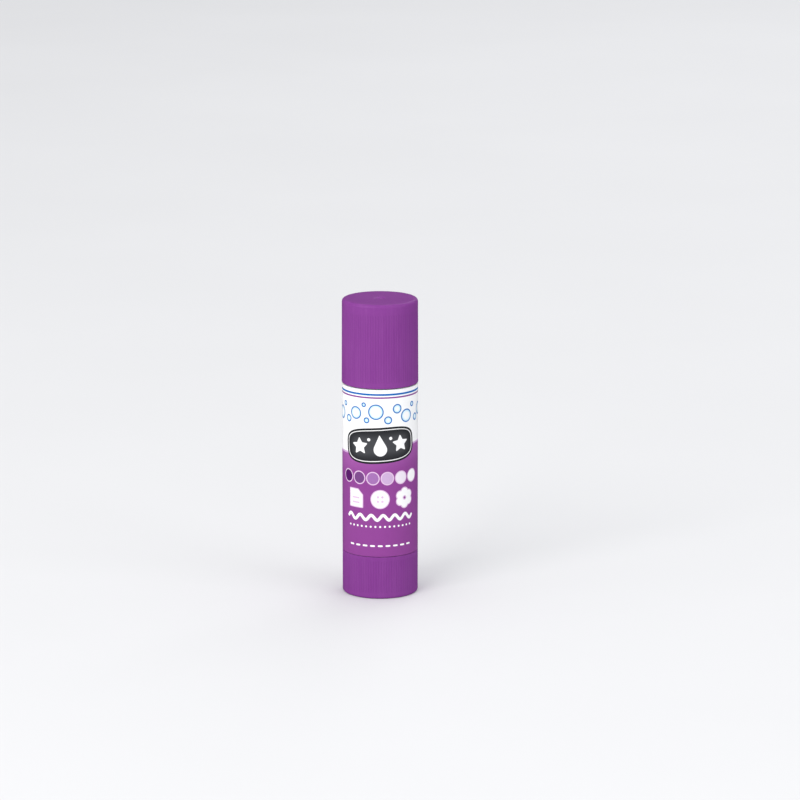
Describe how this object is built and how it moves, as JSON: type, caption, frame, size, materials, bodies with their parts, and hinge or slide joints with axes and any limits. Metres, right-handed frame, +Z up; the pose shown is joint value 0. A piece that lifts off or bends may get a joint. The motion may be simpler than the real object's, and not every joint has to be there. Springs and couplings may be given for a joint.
{
  "type": "glue stick",
  "caption": "Twist-up glue stick: round fluted pull-off cap, printed barrel and a fluted base knob that turns a screw to raise the glue.",
  "frame": {"origin": "middle of the face the stick stands on, under the base knob", "axes": "+Z up along the stick's own axis, from the base knob to the cap; +X towards the viewer's right with the printed front facing -Y"},
  "size_m": [0.0254, 0.0254, 0.1],
  "materials": {
    "purple_plastic": "satin moulded polypropylene with fine upright flutes",
    "white_plastic": "smooth milky polypropylene",
    "screw_plastic": "smooth moulded polypropylene",
    "printed_film": "glossy printed wrap, white above and purple below",
    "purple_glue": "waxy, slightly translucent solid glue"
  },
  "bodies": {
    "barrel": {"barrel": "white_plastic", "label_wrap": "printed_film"},
    "knob": {"base_knob": "purple_plastic", "lead_screw": "screw_plastic"},
    "carrier": {"carrier_cup": "white_plastic", "glue_core": "purple_glue"},
    "cap": {"cap": "purple_plastic"}
  },
  "joints": [
    {"name": "knob_turn", "type": "hinge", "parent": "barrel", "child": "knob", "pos_m": [0, 0, 0], "axis": [0, 0, 1], "range_deg": [0, 3960]},
    {"name": "carrier_slide", "type": "slide", "parent": "barrel", "child": "carrier", "axis": [0, 0, 1], "range_m": [0, 0.066], "deforming": ["glue_core"]},
    {"name": "cap_pull", "type": "slide", "parent": "barrel", "child": "cap", "axis": [0, 0, 1], "range_m": [0, 0.045]}
  ],
  "couplings": [
    {"joint": "knob_turn", "follows": "carrier_slide", "rad_per_m": 1047.2}
  ]
}
